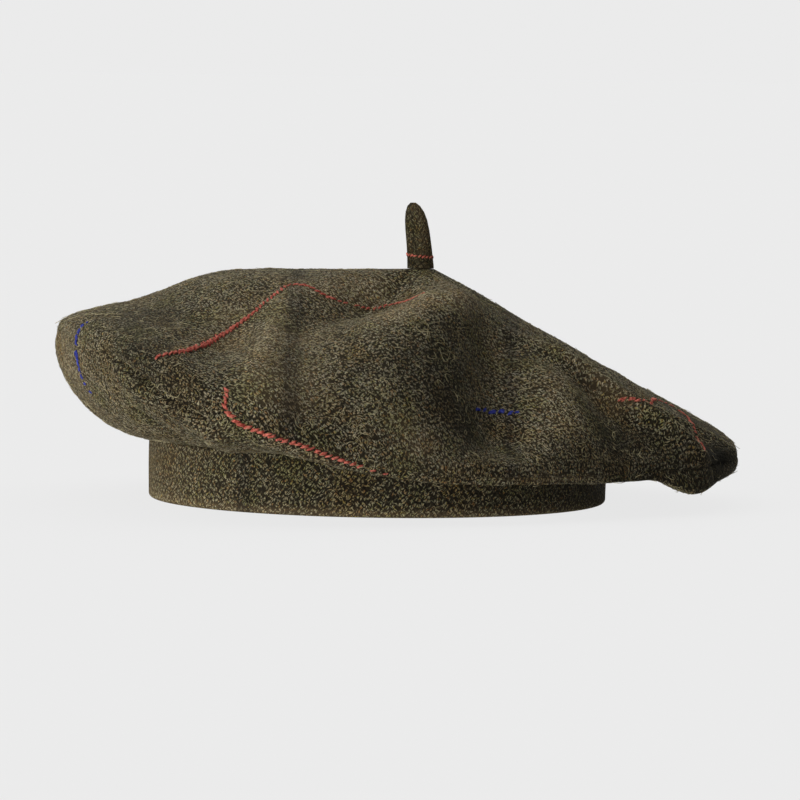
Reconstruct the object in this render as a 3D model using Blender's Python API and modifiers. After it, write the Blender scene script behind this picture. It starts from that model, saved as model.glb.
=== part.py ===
"""A soft tweed tam o' shanter, resting on its headband.

The hat stands on the floor on the flat lower ring of an oval headband. A wide, slack crown sits on
the band. It is two panels that meet at a seam round the rim: a top panel that runs from the stalk
to the rim, and a side panel that turns back under it to the top of the band. A short cloth stalk
stands on the middle of the crown, to the right of the band's middle.

Metres, +Z up. The hat is seen with +X to the right and -Y toward the viewer. Turns are angles in
degrees about the stalk: 0 is right, 90 is the far side, 180 is left and 270 is the near side. The
origin is on the floor, under the middle of the hat's box.
"""

import math

import bpy
import numpy as np
from mathutils import Matrix

HAT = "tam_o_shanter"

# The headband: an oval ring, whose lower outer edge is rolled and leaves a flat ring to stand on.
BAND_LONG = 0.190
BAND_SHORT = 0.176
BAND_HEIGHT = 0.025
BAND_WALL = 0.003
BAND_ROLL = 0.0018
ROLL_STEPS = 4
MOST_ROLL = 0.75

# The crown: its height from the floor to the stalk's foot, its widest overhang past the band and
# the thickness of its cloth. The rim bends over a small radius and ends in an upright strip. The
# hem lies flat on the band, from just outside it to just short of its inner face.
CROWN_RISE = 0.0958
OVERHANG = 0.055
CLOTH = 0.002
RIM_ROUND = 0.004
RIM_STRIP = 0.0008
HEM_OUTSIDE = 0.001
HEM_SHORT = 0.0008

# The stalk: how far right of the band's middle it stands, its size, how far its tip leans left and
# how far the flat on which it stands reaches past its foot.
STALK_OFFSET = 0.0166
STALK_HEIGHT = 0.0272
STALK_WIDTH = 0.0110
STALK_DEPTH = 0.0090
STALK_LEAN = 0.0026
SEAT_MARGIN = 0.0003

# The clearance between pieces that touch.
GAP = 0.0003

# How finely the solids are cut.
CROWN_COLUMNS = 96
BAND_COLUMNS = 72
STALK_COLUMNS = 16

# The crown's meridians, going round. A column holds:
#   turn    degrees about the stalk
#   over    overhang of the rim past the band, as a share of OVERHANG
#   rim     height of the rim, as a share of CROWN_RISE
#   brow    where the top bends over, as a share of the way from stalk to rim
#   crest   height of that bend, as a share of CROWN_RISE
#   dip     how much of the fall from the stalk to that bend is gone halfway to it
#   belly   how far the face between brow and rim bulges out, as a share of CROWN_RISE
#   swell   how far the side panel swells past the rim, as a share of OVERHANG
#   sag     how far the side panel is drawn down below the rim, as a share of CROWN_RISE
MERIDIANS = (
    (8, 0.99, 0.222, 0.30, 0.808, 0.48, 0.020, 0.03, 0.12),
    (30, 0.86, 0.225, 0.34, 0.775, 0.48, 0.050, 0.03, 0.11),
    (60, 0.66, 0.245, 0.38, 0.795, 0.48, 0.060, 0.03, 0.11),
    (90, 0.60, 0.330, 0.43, 0.865, 0.48, 0.065, 0.05, 0.13),
    (120, 0.62, 0.450, 0.48, 0.925, 0.48, 0.055, 0.07, 0.16),
    (150, 0.68, 0.600, 0.50, 0.965, 0.48, 0.040, 0.10, 0.20),
    (178, 0.71, 0.705, 0.52, 0.978, 0.48, 0.018, 0.08, 0.20),
    (195, 0.66, 0.715, 0.50, 0.962, 0.48, 0.010, 0.07, 0.20),
    (208, 0.69, 0.700, 0.46, 0.935, 0.48, -0.005, 0.05, 0.20),
    (219, 0.78, 0.655, 0.45, 0.885, 0.52, -0.010, 0.08, 0.21),
    (228, 0.84, 0.585, 0.45, 0.825, 0.62, 0.000, 0.09, 0.17),
    (236, 0.86, 0.490, 0.46, 0.785, 0.76, 0.025, 0.08, 0.13),
    (243, 0.79, 0.405, 0.46, 0.795, 0.84, 0.050, 0.06, 0.11),
    (250, 0.72, 0.335, 0.45, 0.822, 0.86, 0.065, 0.05, 0.11),
    (262, 0.58, 0.250, 0.44, 0.866, 0.84, 0.075, 0.03, 0.11),
    (272, 0.53, 0.215, 0.42, 0.906, 0.76, 0.075, 0.03, 0.11),
    (290, 0.52, 0.195, 0.38, 0.922, 0.70, 0.065, 0.03, 0.11),
    (307, 0.50, 0.190, 0.31, 0.910, 0.55, 0.075, 0.03, 0.11),
    (320, 0.55, 0.185, 0.28, 0.879, 0.48, 0.075, 0.03, 0.11),
    (329, 0.66, 0.190, 0.29, 0.843, 0.48, 0.060, 0.03, 0.13),
    (337, 0.85, 0.200, 0.29, 0.821, 0.48, 0.045, 0.05, 0.30),
    (345, 0.92, 0.206, 0.28, 0.812, 0.48, 0.012, 0.05, 0.22),
    (354, 0.98, 0.206, 0.29, 0.808, 0.48, 0.010, 0.03, 0.18),
)

# The crown's folds. A ridge has a height above zero, a valley below, and both run from a point near
# the stalk toward the rim, turning less and less, as a straight crease past the stalk does. A row
# holds:
#   turns where the fold starts and ends, how far down the meridian it starts and ends
#   (0 stalk, 1 rim, 2 hem), its half width and its height, both as shares of CROWN_RISE
FOLDS = (
    (214, 245, 0.15, 1.13, 0.115, 0.058),
    (206, 230, 0.20, 0.98, 0.120, -0.030),
    (207, 236, 0.985, 1.42, 0.110, -0.060),
    (262, 264, 0.26, 1.08, 0.190, 0.045),
    (309, 288, 0.33, 0.985, 0.185, -0.152),
    (332, 306, 0.42, 1.03, 0.140, 0.032),
    (320, 328, 0.42, 0.88, 0.100, -0.030),
    (322, 337, 0.36, 1.04, 0.065, 0.054),
    (349, 345, 0.60, 1.14, 0.080, -0.025),
    (222, 216, 1.15, 1.95, 0.150, -0.025),
    (238, 230, 1.14, 1.88, 0.100, 0.025),
    (75, 68, 0.30, 1.10, 0.220, -0.040),
    (112, 118, 0.35, 1.15, 0.200, 0.030),
    (150, 146, 0.40, 1.15, 0.200, -0.025),
)

# Rows of each panel, as places down the meridian. The seam is at 1 and the hem at 2.
TOP_ROWS = (0.0, 0.08, 0.17, 0.27, 0.38, 0.49, 0.60, 0.71, 0.82, 0.92, 0.965, 0.99, 1.0)
SIDE_ROWS = (1.02, 1.09, 1.2, 1.33, 1.48, 1.64, 1.8, 1.93, 2.0)

# Where the seat, inner, brow, face, shoulder, lip, strip and rim points lie along a meridian, and
# where the flat hem starts.
TOP_KNOTS = (0.0, 0.15, 0.31, 0.62, 0.92, 0.965, 0.99, 1.0)
HEM_START = 1.93

# The side panel runs level to the hem over this share of its way in.
LEVEL_SHARE = 0.55

# The stalk's rings: height and breadth as shares of its own, and how far the lean has gone.
STALK_RINGS = (
    (0.00, 1.00, 0.00), (0.04, 1.00, 0.02), (0.16, 0.97, 0.14), (0.36, 0.94, 0.34),
    (0.58, 0.91, 0.58), (0.74, 0.84, 0.80), (0.86, 0.70, 1.02), (0.95, 0.48, 1.22),
    (1.00, 0.20, 1.34),
)


def round_and_round(turns, values, at):
    """Smooth curve through values at turns, which closes on itself after 360 degrees."""
    knots = np.concatenate([np.array(turns[-2:]) - 360.0, turns, np.array(turns[:2]) + 360.0])
    ends = np.concatenate([values[-2:], values, values[:2]])
    slopes = np.gradient(ends, knots)
    place = np.mod(np.asarray(at, float) - knots[2], 360.0) + knots[2]
    left = np.clip(np.searchsorted(knots, place, side="right") - 1, 0, len(knots) - 2)
    span = knots[left + 1] - knots[left]
    share = (place - knots[left]) / span
    return hermite(share, span, ends[left], ends[left + 1], slopes[left], slopes[left + 1])


def hermite(share, span, start, end, start_slope, end_slope):
    """Cubic from start to end with the given slopes, read at share 0 to 1 of the span."""
    square, cube = share ** 2, share ** 3
    return ((2 * cube - 3 * square + 1) * start + (cube - 2 * square + share) * span * start_slope
            + (3 * square - 2 * cube) * end + (cube - square) * span * end_slope)


def along(knots, points, places):
    """Smooth curves through points (knot, column, axis), read at the places."""
    knots = np.array(knots)
    slopes = np.gradient(points, knots, axis=0)
    left = np.clip(np.searchsorted(knots, places, side="right") - 1, 0, len(knots) - 2)
    span = (knots[left + 1] - knots[left])[:, None, None]
    share = (places - knots[left])[:, None, None] / span
    return hermite(share, span, points[left], points[left + 1], slopes[left], slopes[left + 1])


def oval_distance(turn, grow):
    """Distance from the stalk, along a turn, to the band's outer oval grown by a length."""
    half_long, half_short = BAND_LONG / 2 + grow, BAND_SHORT / 2 + grow
    cosine, sine = np.cos(np.radians(turn)), np.sin(np.radians(turn))
    square = (cosine / half_long) ** 2 + (sine / half_short) ** 2
    linear = STALK_OFFSET * cosine / half_long ** 2
    constant = (STALK_OFFSET / half_long) ** 2 - 1.0
    return (np.sqrt(linear ** 2 - square * constant) - linear) / square


def meridian_knots(turn):
    """The named points of the meridians, each a (column, axis) array of distance and height.

    The top panel runs through the seat under the stalk, a point halfway to the brow, the brow, the
    face's middle pushed out by the belly, the shoulder and lip of the rounded rim, and the rim. The
    side panel is pulled down from the rim and runs level to the hem on the band.
    """
    columns = np.array(MERIDIANS, float).T
    over, rim, brow, crest, dip, belly, swell, sag = (
        round_and_round(columns[0], column, turn) for column in columns[1:])

    def point(distance, height):
        return np.stack([distance + 0.0 * turn, height + 0.0 * turn], 1)

    rim_distance = oval_distance(turn, 0.0) + over * OVERHANG
    rim_at = point(rim_distance, rim * CROWN_RISE)
    seat_at = point(STALK_WIDTH / 2 + SEAT_MARGIN, CROWN_RISE)
    brow_at = point(brow * rim_distance, crest * CROWN_RISE)
    inner_at = seat_at + (brow_at - seat_at) * np.stack([0.5 + 0.0 * dip, dip], 1)
    fall = rim_at - brow_at
    outward = np.stack([-fall[:, 1], fall[:, 0]], 1) / np.linalg.norm(fall, axis=1)[:, None]
    face_at = (brow_at + rim_at) / 2 + outward * (belly * CROWN_RISE)[:, None]
    arrive = rim_at - face_at
    arrive /= np.linalg.norm(arrive, axis=1)[:, None]
    up = np.array([0.0, 1.0])
    corner_at = rim_at + up * RIM_ROUND
    shoulder_at = corner_at - arrive * RIM_ROUND
    lip_at = corner_at / 2 + (shoulder_at + rim_at) / 4
    strip_at = rim_at + up * RIM_STRIP
    pulled_at = rim_at + np.stack([swell * OVERHANG, -sag * CROWN_RISE], 1)
    hem_out_at = point(oval_distance(turn, HEM_OUTSIDE), BAND_HEIGHT + GAP)
    hem_in_at = point(oval_distance(turn, HEM_SHORT - BAND_WALL), BAND_HEIGHT + GAP)
    level_at = point(hem_out_at[:, 0] + LEVEL_SHARE * (rim_distance - hem_out_at[:, 0]), BAND_HEIGHT + GAP)
    top = np.stack([seat_at, inner_at, brow_at, face_at, shoulder_at, lip_at, strip_at, rim_at])
    return top, (rim_at, pulled_at, level_at, hem_out_at, hem_in_at)


def side_line(places, rim_at, pulled_at, level_at, hem_out_at, hem_in_at):
    """The side panel: a Bezier from the rim to the band's edge, then a flat lap on the band."""
    share = np.clip((places - 1.0) / (HEM_START - 1.0), 0.0, 1.0)[:, None, None]
    rest = 1.0 - share
    curve = (rest ** 3 * rim_at + 3 * rest ** 2 * share * pulled_at
             + 3 * rest * share ** 2 * level_at + share ** 3 * hem_out_at)
    lap = np.clip((places - HEM_START) / (2.0 - HEM_START), 0.0, 1.0)[:, None, None]
    return curve + lap * (hem_in_at - hem_out_at)


def outward_normals(points):
    """Unit normals of a grid (row, column, axis) that closes on itself from column to column."""
    across = np.roll(points, -1, axis=1) - np.roll(points, 1, axis=1)
    down = np.gradient(points, axis=0)
    normals = np.cross(down, across)
    return normals / np.linalg.norm(normals, axis=2, keepdims=True)


def folded(points, distance, turn, places):
    """The crown's surface with every fold pushed out or in along the surface's normals."""
    push = np.zeros(points.shape[:2])
    for first, last, start, end, width, height in FOLDS:
        share = np.clip((places - start) / (end - start), 0.0, 1.0)[:, None]
        middle = first + (last - first) * np.sin(math.pi / 2 * share)
        aside = np.radians((turn[None, :] - middle + 180.0) % 360.0 - 180.0) * distance
        ends = np.sin(math.pi * share) ** 2
        push += (height * CROWN_RISE * ends * (2.0 - ends)
                 * np.exp(-(aside / (width * CROWN_RISE)) ** 2))
    return points + outward_normals(points) * push[:, :, None]


def crown_surface(turn, places):
    """Outer face of the crown, about the band's middle, for places 0 (stalk) to 2 (hem)."""
    top, side = meridian_knots(turn)
    is_top = (places <= 1.0)[:, None, None]
    lines = np.where(is_top, along(TOP_KNOTS, top, np.minimum(places, 1.0)), side_line(places, *side))
    distance, height = lines[:, :, 0], lines[:, :, 1]
    east = STALK_OFFSET + distance * np.cos(np.radians(turn))
    north = distance * np.sin(np.radians(turn))
    return folded(np.stack([east, north, height], 2), distance, turn, places)


def drawn_back(edge, neighbour):
    """A row of points moved off the seam's line, toward the row beside it, by half the gap."""
    step = neighbour - edge
    return edge + step / np.linalg.norm(step, axis=1)[:, None] * GAP / 2


def crown_panels():
    """Outer faces of the top panel and the side panel, apart by the gap at their seam."""
    turn = np.arange(CROWN_COLUMNS) * 360.0 / CROWN_COLUMNS
    places = np.array(TOP_ROWS + SIDE_ROWS)
    points = crown_surface(turn, places)
    seam = len(TOP_ROWS) - 1
    top, side = points[:seam + 1].copy(), points[seam:].copy()
    top[-1] = drawn_back(top[-1], top[-2])
    side[0] = drawn_back(side[0], side[1])
    return top, side


def band_rings():
    """Rings of the headband's section, going round it: down outside, across and up inside."""
    turn = np.radians(np.arange(BAND_COLUMNS) * 360.0 / BAND_COLUMNS)
    section = [(0.0, BAND_HEIGHT), (0.0, BAND_HEIGHT / 2)]
    roll = min(BAND_ROLL, MOST_ROLL * BAND_WALL)
    for step in range(ROLL_STEPS + 1):
        bend = math.radians(90.0 * step / ROLL_STEPS)
        section.append((roll * (1 - math.cos(bend)), roll * (1 - math.sin(bend))))
    section += [(BAND_WALL, 0.0), (BAND_WALL, BAND_HEIGHT / 2), (BAND_WALL, BAND_HEIGHT)]
    rings = []
    for inset, height in section:
        east = (BAND_LONG / 2 - inset) * np.cos(turn)
        north = (BAND_SHORT / 2 - inset) * np.sin(turn)
        rings.append(np.stack([east, north, height + 0.0 * turn], 1))
    return np.array(rings)


def stalk_rings():
    """Rings of the stalk, from its foot on the crown to its rounded tip."""
    turn = np.radians(np.arange(STALK_COLUMNS) * 360.0 / STALK_COLUMNS)
    rings = []
    for height, breadth, lean in STALK_RINGS:
        east = STALK_OFFSET - lean * STALK_LEAN + breadth * STALK_WIDTH / 2 * np.cos(turn)
        north = breadth * STALK_DEPTH / 2 * np.sin(turn)
        level = CROWN_RISE + GAP + height * STALK_HEIGHT
        rings.append(np.stack([east, north, level + 0.0 * turn], 1))
    return np.array(rings)


def ring_mesh(name, rings, closed=False, first_cap=False, last_cap=False):
    """A mesh that joins each ring of points to the next, with its faces pointing out."""
    rows, columns = rings.shape[:2]
    faces = []
    for row in range(rows if closed else rows - 1):
        below = (row + 1) % rows
        for column in range(columns):
            beside = (column + 1) % columns
            faces.append((row * columns + column, below * columns + column,
                          below * columns + beside, row * columns + beside))
    if first_cap:
        faces.append(tuple(range(columns)))
    if last_cap:
        faces.append(tuple((rows - 1) * columns + column for column in reversed(range(columns))))
    mesh = bpy.data.meshes.new(name)
    mesh.from_pydata(rings.reshape(-1, 3).tolist(), [], faces)
    mesh.validate()
    mesh.shade_smooth()
    return mesh


def tweed(name, colour):
    """Rough woollen cloth in one colour."""
    material = bpy.data.materials.new(name)
    material.use_nodes = True
    shader = material.node_tree.nodes["Principled BSDF"]
    shader.inputs["Base Color"].default_value = (*colour, 1.0)
    shader.inputs["Roughness"].default_value = 0.95
    shader.inputs["Metallic"].default_value = 0.0
    return material


def place(collection, mesh, material, shift):
    """An object for the mesh, moved so that the hat's box is centred over the origin."""
    mesh.transform(shift)
    mesh.materials.append(material)
    item = bpy.data.objects.new(mesh.name, mesh)
    collection.objects.link(item)
    return item


def thicken(item):
    """Cloth thickness, grown inward from the outer face."""
    wall = item.modifiers.new("cloth", "SOLIDIFY")
    wall.thickness = CLOTH
    wall.offset = -1.0


def main():
    for item in list(bpy.data.objects):
        bpy.data.objects.remove(item, do_unlink=True)
    collection = bpy.data.collections.new(HAT)
    bpy.context.scene.collection.children.link(collection)

    top, side = crown_panels()
    crown = np.concatenate([top.reshape(-1, 3), side.reshape(-1, 3)])
    low, high = crown.min(axis=0), crown.max(axis=0)
    shift = Matrix.Translation((-(low[0] + high[0]) / 2, -(low[1] + high[1]) / 2, 0.0))

    crown_cloth = tweed("crown tweed", (0.052, 0.042, 0.026))
    side_cloth = tweed("side tweed", (0.046, 0.038, 0.026))
    band_cloth = tweed("band tweed", (0.042, 0.035, 0.024))
    stalk_cloth = tweed("stalk tweed", (0.056, 0.046, 0.030))

    thicken(place(collection, ring_mesh("crown_top", top, first_cap=True), crown_cloth, shift))
    thicken(place(collection, ring_mesh("crown_side", side), side_cloth, shift))
    place(collection, ring_mesh("headband", band_rings(), closed=True), band_cloth, shift)
    stalk = stalk_rings()[::-1]
    place(collection, ring_mesh("stalk", stalk, first_cap=True, last_cap=True), stalk_cloth, shift)


main()
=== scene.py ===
"""The looks of a soft tweed tam o' shanter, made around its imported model.

The crown, headband and stalk are cloth shells worked out on fine grids, in the places of the CAD
pieces. Windowpane stitches lie on the crown, and loose wool fibres stand on the cloth. Metres, +Z
up. Turns are degrees about the stalk (0 right, 270 the near side) and places run down a meridian
of the crown (0 stalk, 1 rim seam, 2 hem). Shapes are worked out about the middle of the band.
"""

import math

import bpy
import numpy as np
from mathutils import Matrix, Vector


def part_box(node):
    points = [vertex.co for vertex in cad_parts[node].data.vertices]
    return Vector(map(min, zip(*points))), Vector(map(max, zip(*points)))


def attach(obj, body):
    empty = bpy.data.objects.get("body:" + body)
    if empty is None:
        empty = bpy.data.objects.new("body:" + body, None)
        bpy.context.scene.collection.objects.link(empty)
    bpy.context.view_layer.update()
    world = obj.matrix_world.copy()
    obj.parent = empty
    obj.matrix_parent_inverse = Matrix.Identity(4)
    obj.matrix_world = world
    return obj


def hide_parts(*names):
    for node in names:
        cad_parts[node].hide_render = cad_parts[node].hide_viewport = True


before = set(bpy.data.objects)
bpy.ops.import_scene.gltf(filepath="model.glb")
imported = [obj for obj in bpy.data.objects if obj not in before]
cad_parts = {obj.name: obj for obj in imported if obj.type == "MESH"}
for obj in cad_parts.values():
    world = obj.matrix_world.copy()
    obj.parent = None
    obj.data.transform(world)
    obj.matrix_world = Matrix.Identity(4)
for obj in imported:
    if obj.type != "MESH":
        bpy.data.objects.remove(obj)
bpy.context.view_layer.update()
low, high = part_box("headband")
BAND_MIDDLE = np.array([(low[0] + high[0]) / 2, (low[1] + high[1]) / 2, 0.0])

MM = 0.001

# The solid's own sizes, repeated from the part's source.
BAND_LONG, BAND_SHORT, BAND_HEIGHT, BAND_WALL = 0.190, 0.176, 0.025, 0.003
BAND_ROLL = 0.0018
CROWN_RISE, OVERHANG, CLOTH = 0.0958, 0.055, 0.002
RIM_ROUND, RIM_STRIP, HEM_OUTSIDE, HEM_SHORT = 0.004, 0.0008, 0.001, 0.0008
STALK_OFFSET, STALK_HEIGHT, STALK_WIDTH, STALK_DEPTH = 0.0166, 0.0272, 0.0110, 0.0090
STALK_LEAN, SEAT_MARGIN, GAP = 0.0026, 0.0003, 0.0003
LEVEL_SHARE, HEM_START = 0.55, 1.93
TOP_KNOTS = (0.0, 0.15, 0.31, 0.62, 0.92, 0.965, 0.99, 1.0)

# The crown's meridians: turn, overhang, rim height, where and how high the brow lies, how much of
# that fall lies in the inner half, how far the face bulges, and the side panel's swell and sag.
MERIDIANS = (
    (8, 0.99, 0.222, 0.30, 0.808, 0.48, 0.020, 0.03, 0.12),
    (30, 0.86, 0.225, 0.34, 0.775, 0.48, 0.050, 0.03, 0.11),
    (60, 0.66, 0.245, 0.38, 0.795, 0.48, 0.060, 0.03, 0.11),
    (90, 0.60, 0.330, 0.43, 0.865, 0.48, 0.065, 0.05, 0.13),
    (120, 0.62, 0.450, 0.48, 0.925, 0.48, 0.055, 0.07, 0.16),
    (150, 0.68, 0.600, 0.50, 0.965, 0.48, 0.040, 0.10, 0.20),
    (178, 0.71, 0.705, 0.52, 0.978, 0.48, 0.018, 0.08, 0.20),
    (195, 0.66, 0.715, 0.50, 0.962, 0.48, 0.010, 0.07, 0.20),
    (208, 0.69, 0.700, 0.46, 0.935, 0.48, -0.005, 0.05, 0.20),
    (219, 0.78, 0.655, 0.45, 0.885, 0.52, -0.010, 0.08, 0.21),
    (228, 0.84, 0.585, 0.45, 0.825, 0.62, 0.000, 0.09, 0.17),
    (236, 0.86, 0.490, 0.46, 0.785, 0.76, 0.025, 0.08, 0.13),
    (243, 0.79, 0.405, 0.46, 0.795, 0.84, 0.050, 0.06, 0.11),
    (250, 0.72, 0.335, 0.45, 0.822, 0.86, 0.065, 0.05, 0.11),
    (262, 0.58, 0.250, 0.44, 0.866, 0.84, 0.075, 0.03, 0.11),
    (272, 0.53, 0.215, 0.42, 0.906, 0.76, 0.075, 0.03, 0.11),
    (290, 0.52, 0.195, 0.38, 0.922, 0.70, 0.065, 0.03, 0.11),
    (307, 0.50, 0.190, 0.31, 0.910, 0.55, 0.075, 0.03, 0.11),
    (320, 0.55, 0.185, 0.28, 0.879, 0.48, 0.075, 0.03, 0.11),
    (329, 0.66, 0.190, 0.29, 0.843, 0.48, 0.060, 0.03, 0.13),
    (337, 0.85, 0.200, 0.29, 0.821, 0.48, 0.045, 0.05, 0.30),
    (345, 0.92, 0.206, 0.28, 0.812, 0.48, 0.012, 0.05, 0.22),
    (354, 0.98, 0.206, 0.29, 0.808, 0.48, 0.010, 0.03, 0.18),
)

# Folds of the crown: turn at the start and end, place at the start and end, half width and height
# as shares of the crown's rise. The first table is in the solids, the second is only in the cloth.
FOLDS = (
    (214, 245, 0.15, 1.13, 0.115, 0.058),
    (206, 230, 0.20, 0.98, 0.120, -0.030),
    (207, 236, 0.985, 1.42, 0.110, -0.060),
    (262, 264, 0.26, 1.08, 0.190, 0.045),
    (309, 288, 0.33, 0.985, 0.185, -0.152),
    (332, 306, 0.42, 1.03, 0.140, 0.032),
    (320, 328, 0.42, 0.88, 0.100, -0.030),
    (322, 337, 0.36, 1.04, 0.065, 0.054),
    (349, 345, 0.60, 1.14, 0.080, -0.025),
    (222, 216, 1.15, 1.95, 0.150, -0.025),
    (238, 230, 1.14, 1.88, 0.100, 0.025),
    (75, 68, 0.30, 1.10, 0.220, -0.040),
    (112, 118, 0.35, 1.15, 0.200, 0.030),
    (150, 146, 0.40, 1.15, 0.200, -0.025),
)
PUCKERS = (
    (322, 337, 0.36, 1.04, 0.028, 0.0150),
    (214, 226, 1.02, 1.80, 0.030, 0.0100),
    (207, 219, 1.05, 1.85, 0.026, -0.0090),
    (200, 214, 1.08, 1.88, 0.028, 0.0090),
    (229, 238, 0.99, 1.60, 0.030, -0.0110),
    (241, 236, 0.97, 1.55, 0.026, 0.0120),
    (222, 231, 1.04, 1.70, 0.022, -0.0080),
    (212, 224, 0.55, 1.02, 0.030, -0.0070),
    (258, 255, 0.45, 1.00, 0.030, -0.0050),
    (341, 342, 0.70, 1.20, 0.022, -0.0120),
    (350, 353, 0.66, 1.15, 0.024, 0.0090),
    (20, 26, 0.40, 1.10, 0.060, -0.0100),
    (48, 44, 0.50, 1.20, 0.050, 0.0100),
    (96, 100, 0.50, 1.10, 0.050, 0.0080),
    (134, 128, 0.55, 1.20, 0.050, -0.0100),
    (168, 172, 0.60, 1.60, 0.045, 0.0090),
    (184, 190, 0.80, 1.70, 0.036, -0.0090),
)

# The stalk's rings: height and breadth as shares of its own, and how far the lean has gone.
STALK_RINGS = (
    (0.00, 1.00, 0.00), (0.04, 1.00, 0.02), (0.16, 0.97, 0.14), (0.36, 0.94, 0.34),
    (0.58, 0.91, 0.58), (0.74, 0.84, 0.80), (0.86, 0.70, 1.02), (0.95, 0.48, 1.22),
    (1.00, 0.20, 1.34),
)

# How finely the cloth is cut.
CROWN_COLUMNS, LINING_ROWS = 396, 34
BAND_COLUMNS, STALK_COLUMNS = 360, 48
LOOKUP_TURNS, LOOKUP_PLACES = 720, np.linspace(0.0, 1.9, 500)

# The navy stripes' distances to the right of the band's middle, in millimetres.
CROWN_STRIPES, BAND_STRIPES = (-34.0, 54.0), (-53.0,)

# The windowpane lines, as turn, place and how full the line is. The near ones follow the
# photograph, and the far ones carry the same check on round the hat.
RED_LINES = (
    ((223.8, 0.950, 1.1), (224.9, 0.840, 1.4), (223.2, 0.723, 1.4), (220.3, 0.615, 1.3),
     (218.0, 0.510, 1.2), (216.6, 0.431, 1.0), (214.2, 0.360, 0.8), (211.7, 0.318, 0.7),
     (209.9, 0.287, 0.6), (213.6, 0.258, 0.6), (222.4, 0.237, 0.6), (227.6, 0.206, 0.5),
     (234.6, 0.154, 0.5), (244.1, 0.120, 0.5), (262.6, 0.167, 0.4), (271.9, 0.260, 0.2)),
    ((236.8, 0.894, 0.8), (237.7, 0.945, 0.9), (238.0, 0.988, 1.0), (239.2, 1.038, 1.0),
     (240.4, 1.062, 1.0), (243.7, 1.055, 1.0), (246.5, 1.048, 1.0), (249.5, 1.023, 0.9),
     (252.7, 1.034, 0.8), (255.8, 1.049, 0.7), (259.0, 1.065, 0.6), (261.8, 1.098, 0.4),
     (264.6, 1.107, 0.2)),
    ((330.5, 0.712, 0.7), (332.5, 0.728, 0.7), (334.5, 0.742, 0.7), (344.0, 0.715, 0.6),
     (355.0, 0.690, 0.7), (360.0, 0.710, 0.6), (361.5, 0.735, 0.5), (359.5, 0.757, 0.5),
     (356.0, 0.775, 0.4), (352.0, 0.795, 0.4), (348.0, 0.835, 0.4), (339.5, 0.915, 0.4),
     (337.5, 0.955, 0.3)),
    ((32.0, 0.920, 0.3), (45.0, 0.690, 0.6), (60.0, 0.570, 0.7), (75.0, 0.515, 0.8),
     (90.0, 0.500, 0.8), (105.0, 0.510, 0.8), (120.0, 0.550, 0.7), (135.0, 0.640, 0.7),
     (150.0, 0.830, 0.5)),
)
BLUE_LINES = (
    ((196.8, 0.902, 0.3), (198.1, 0.968, 1.0), (197.6, 1.038, 1.0), (197.6, 1.090, 1.0),
     (198.2, 1.165, 0.9), (197.9, 1.231, 0.7), (198.1, 1.294, 0.5), (199.2, 1.377, 0.3)),
    ((287.2, 0.682, 0.4), (292.0, 0.671, 0.8), (296.0, 0.681, 1.0), (298.4, 0.694, 0.8),
     (300.5, 0.711, 0.3)),
    ((60.0, 0.960, 0.4), (75.0, 0.870, 0.8), (90.0, 0.840, 0.9), (105.0, 0.850, 0.8),
     (120.0, 0.920, 0.4)),
)

# Painted light and shade on the crown's cloth: painted highlights (above zero) and painted shade in
# hollows (below zero), as turn, place, half width in degrees, half length in places, and how much.
PAINTED_LIGHT_AND_SHADE = (
    (203, 0.75, 12.0, 0.16, -1.20),
    (219, 0.95, 8.0, 0.16, -1.25),
    (231, 0.97, 4.0, 0.08, -0.50),
    (227, 1.20, 9.0, 0.18, -1.40),
    (190, 1.20, 9.0, 0.30, 0.80),
    (214, 0.50, 6.0, 0.12, 1.00),
    (223, 0.63, 4.0, 0.10, 0.95),
    (245, 0.77, 5.0, 0.16, 1.55),
    (236, 0.50, 6.0, 0.12, 1.30),
    (244, 1.00, 4.0, 0.06, -0.70),
    (227, 0.12, 12.0, 0.06, 1.60),
    (300, 0.14, 16.0, 0.08, 1.20),
    (287, 0.34, 14.0, 0.06, 1.60),
    (264, 0.62, 7.0, 0.12, -1.10),
    (276, 0.57, 7.0, 0.16, -1.50),
    (284, 0.47, 4.0, 0.09, -0.60),
    (276, 0.72, 6.0, 0.08, -0.70),
    (282, 0.78, 5.0, 0.10, -1.50),
    (286, 0.94, 4.0, 0.06, -0.60),
    (308, 0.49, 8.0, 0.12, 0.70),
    (312, 0.58, 5.0, 0.08, -0.50),
    (270, 0.89, 5.0, 0.08, 0.95),
    (302, 1.04, 12.0, 0.05, 1.15),
    (303, 0.94, 6.0, 0.05, -0.60),
    (328, 0.71, 4.0, 0.07, 1.70),
    (318, 0.82, 4.0, 0.08, -0.60),
    (327, 0.83, 8.0, 0.10, -0.80),
    (333, 0.94, 6.0, 0.10, -0.80),
    (325, 1.12, 9.0, 0.12, -1.60),
    (357, 0.80, 6.0, 0.09, -1.40),
    (344, 0.92, 5.0, 0.10, -1.60),
    (343, 1.13, 9.0, 0.12, -1.60),
    (322, 0.84, 6.0, 0.08, -0.40),
    (348, 0.97, 6.0, 0.08, -1.50),
    (264, 0.37, 11.0, 0.07, 1.40),
    (216, 0.22, 12.0, 0.07, 0.90),
    (303, 0.89, 5.0, 0.05, -0.70),
    (319, 0.91, 5.0, 0.08, -0.80),
    (340, 0.78, 6.0, 0.08, -0.60),
)

# Where the rim seam is drawn up on to the top of the crown at the left, by turn.
SEAM_DRAWN_UP = (
    (180.0, 0.0), (190.0, 0.07), (197.0, 0.092), (208.0, 0.076), (221.0, 0.040), (229.0, 0.038),
    (234.0, 0.062), (238.0, 0.10), (243.0, 0.0),
)


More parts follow.
